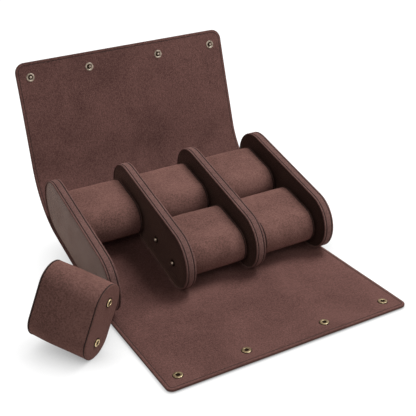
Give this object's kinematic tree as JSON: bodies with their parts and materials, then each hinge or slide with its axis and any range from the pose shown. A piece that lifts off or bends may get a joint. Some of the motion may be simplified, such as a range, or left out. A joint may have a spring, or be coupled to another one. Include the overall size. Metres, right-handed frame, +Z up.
{
  "type": "watch roll",
  "caption": "Open leather watch roll: a lined wrap with two snap flaps, upright dividers and padded lift-out watch cushions, one of them standing beside it.",
  "frame": {"origin": "on the ground under the middle of the whole part, loose cushion included", "axes": "+X along the roll, +Y from the front flap to the rear flap, +Z up"},
  "size_m": [0.3282, 0.3468, 0.1961],
  "materials": {
    "outer_leather": "smooth, satin",
    "lining_suede": "napped suede",
    "divider_leather": "smooth, satin",
    "rim_suede": "napped suede",
    "cushion_suede": "napped suede over foam",
    "board": "plain",
    "antique_brass": "antique"
  },
  "bodies": {
    "base": {"base_leather": "outer_leather", "base_lining": "lining_suede", "front_fold_1_leather": "outer_leather", "front_fold_1_lining": "lining_suede", "divider_1_rim": "rim_suede", "divider_1_core": "board", "divider_1_faces": "divider_leather", "divider_2_rim": "rim_suede", "divider_2_core": "board", "divider_2_faces": "divider_leather", "divider_3_rim": "rim_suede", "divider_3_core": "board", "divider_3_faces": "divider_leather", "divider_4_rim": "rim_suede", "divider_4_core": "board", "divider_4_faces": "divider_leather", "divider_studs": "antique_brass"},
    "front_fold_2": {"front_fold_2_leather": "outer_leather", "front_fold_2_lining": "lining_suede"},
    "front_fold_3": {"front_fold_3_leather": "outer_leather", "front_fold_3_lining": "lining_suede"},
    "front_fold_4": {"front_fold_4_leather": "outer_leather", "front_fold_4_lining": "lining_suede"},
    "front_fold_5": {"front_fold_5_leather": "outer_leather", "front_fold_5_lining": "lining_suede"},
    "front_flap": {"front_flap_leather": "outer_leather", "front_flap_lining": "lining_suede", "front_flap_snaps": "antique_brass"},
    "rear_fold_1": {"rear_fold_1_leather": "outer_leather", "rear_fold_1_lining": "lining_suede"},
    "rear_fold_2": {"rear_fold_2_leather": "outer_leather", "rear_fold_2_lining": "lining_suede"},
    "rear_fold_3": {"rear_fold_3_leather": "outer_leather", "rear_fold_3_lining": "lining_suede"},
    "rear_fold_4": {"rear_fold_4_leather": "outer_leather", "rear_fold_4_lining": "lining_suede"},
    "rear_fold_5": {"rear_fold_5_leather": "outer_leather", "rear_fold_5_lining": "lining_suede"},
    "rear_flap": {"rear_flap_leather": "outer_leather", "rear_flap_lining": "lining_suede", "rear_flap_snaps": "antique_brass"},
    "cushion_rear_left": {"cushion_rear_left_sleeve": "cushion_suede", "cushion_rear_left_panels": "cushion_suede", "cushion_rear_left_sockets": "antique_brass"},
    "cushion_front_middle": {"cushion_front_middle_sleeve": "cushion_suede", "cushion_front_middle_panels": "cushion_suede", "cushion_front_middle_sockets": "antique_brass"},
    "cushion_rear_middle": {"cushion_rear_middle_sleeve": "cushion_suede", "cushion_rear_middle_panels": "cushion_suede", "cushion_rear_middle_sockets": "antique_brass"},
    "cushion_front_right": {"cushion_front_right_sleeve": "cushion_suede", "cushion_front_right_panels": "cushion_suede", "cushion_front_right_sockets": "antique_brass"},
    "cushion_rear_right": {"cushion_rear_right_sleeve": "cushion_suede", "cushion_rear_right_panels": "cushion_suede", "cushion_rear_right_sockets": "antique_brass"},
    "cushion_loose": {"cushion_loose_sleeve": "cushion_suede", "cushion_loose_panels": "cushion_suede", "cushion_loose_sockets": "antique_brass"}
  },
  "joints": [
    {"name": "front_flap_roll", "type": "hinge", "parent": "base", "child": "front_fold_2", "pos_m": [0, -0.03496, 0.00231], "axis": [-1, 0, 0], "range_deg": [0, 32.66]},
    {"name": "front_flap_roll_2", "type": "hinge", "parent": "front_fold_2", "child": "front_fold_3", "pos_m": [0, -0.05342, 0.00247], "axis": [-1, 0, 0], "range_deg": [0, 32.66]},
    {"name": "front_flap_roll_3", "type": "hinge", "parent": "front_fold_3", "child": "front_fold_4", "pos_m": [0, -0.07188, 0.00262], "axis": [-1, 0, 0], "range_deg": [0, 32.66]},
    {"name": "front_flap_roll_4", "type": "hinge", "parent": "front_fold_4", "child": "front_fold_5", "pos_m": [0, -0.09034, 0.00278], "axis": [-1, 0, 0], "range_deg": [0, 32.66]},
    {"name": "front_flap_roll_5", "type": "hinge", "parent": "front_fold_5", "child": "front_flap", "pos_m": [0, -0.1088, 0.00294], "axis": [-1, 0, 0], "range_deg": [0, 32.66]},
    {"name": "rear_flap_roll", "type": "hinge", "parent": "base", "child": "rear_fold_1", "pos_m": [0, 0.10066, 0.03424], "axis": [1, 0, 0], "range_deg": [-12.52, 16.77]},
    {"name": "rear_flap_roll_2", "type": "hinge", "parent": "rear_fold_1", "child": "rear_fold_2", "pos_m": [0, 0.11531, 0.04176], "axis": [1, 0, 0], "range_deg": [-12.52, 16.77]},
    {"name": "rear_flap_roll_3", "type": "hinge", "parent": "rear_fold_2", "child": "rear_fold_3", "pos_m": [0, 0.12797, 0.05229], "axis": [1, 0, 0], "range_deg": [-12.52, 16.77]},
    {"name": "rear_flap_roll_4", "type": "hinge", "parent": "rear_fold_3", "child": "rear_fold_4", "pos_m": [0, 0.13805, 0.06531], "axis": [1, 0, 0], "range_deg": [-12.52, 16.77]},
    {"name": "rear_flap_roll_5", "type": "hinge", "parent": "rear_fold_4", "child": "rear_fold_5", "pos_m": [0, 0.14507, 0.0802], "axis": [1, 0, 0], "range_deg": [-12.52, 16.77]},
    {"name": "rear_flap_tip", "type": "hinge", "parent": "rear_fold_5", "child": "rear_flap", "pos_m": [0, 0.14869, 0.09627], "axis": [1, 0, 0], "range_deg": [0, 29.3]},
    {"name": "cushion_rear_left_lift", "type": "slide", "parent": "base", "child": "cushion_rear_left", "axis": [0, 0.2536, -0.9673], "range_m": [-0.07, 0]},
    {"name": "cushion_front_middle_lift", "type": "slide", "parent": "base", "child": "cushion_front_middle", "axis": [0, 0.2536, -0.9673], "range_m": [-0.07, 0]},
    {"name": "cushion_rear_middle_lift", "type": "slide", "parent": "base", "child": "cushion_rear_middle", "axis": [0, 0.2536, -0.9673], "range_m": [-0.07, 0]},
    {"name": "cushion_front_right_lift", "type": "slide", "parent": "base", "child": "cushion_front_right", "axis": [0, 0.2536, -0.9673], "range_m": [-0.07, 0]},
    {"name": "cushion_rear_right_lift", "type": "slide", "parent": "base", "child": "cushion_rear_right", "axis": [0, 0.2536, -0.9673], "range_m": [-0.07, 0]},
    {"name": "cushion_loose_lift", "type": "slide", "parent": "base", "child": "cushion_loose", "axis": [0, 0, -1], "range_m": [-0.06, 0]}
  ],
  "couplings": [
    {"joint": "front_flap_roll_2", "follows": "front_flap_roll", "ratio": 1},
    {"joint": "front_flap_roll_3", "follows": "front_flap_roll", "ratio": 1},
    {"joint": "front_flap_roll_4", "follows": "front_flap_roll", "ratio": 1},
    {"joint": "front_flap_roll_5", "follows": "front_flap_roll", "ratio": 1},
    {"joint": "rear_flap_roll_2", "follows": "rear_flap_roll", "ratio": 1},
    {"joint": "rear_flap_roll_3", "follows": "rear_flap_roll", "ratio": 1},
    {"joint": "rear_flap_roll_4", "follows": "rear_flap_roll", "ratio": 1},
    {"joint": "rear_flap_roll_5", "follows": "rear_flap_roll", "ratio": 1}
  ]
}
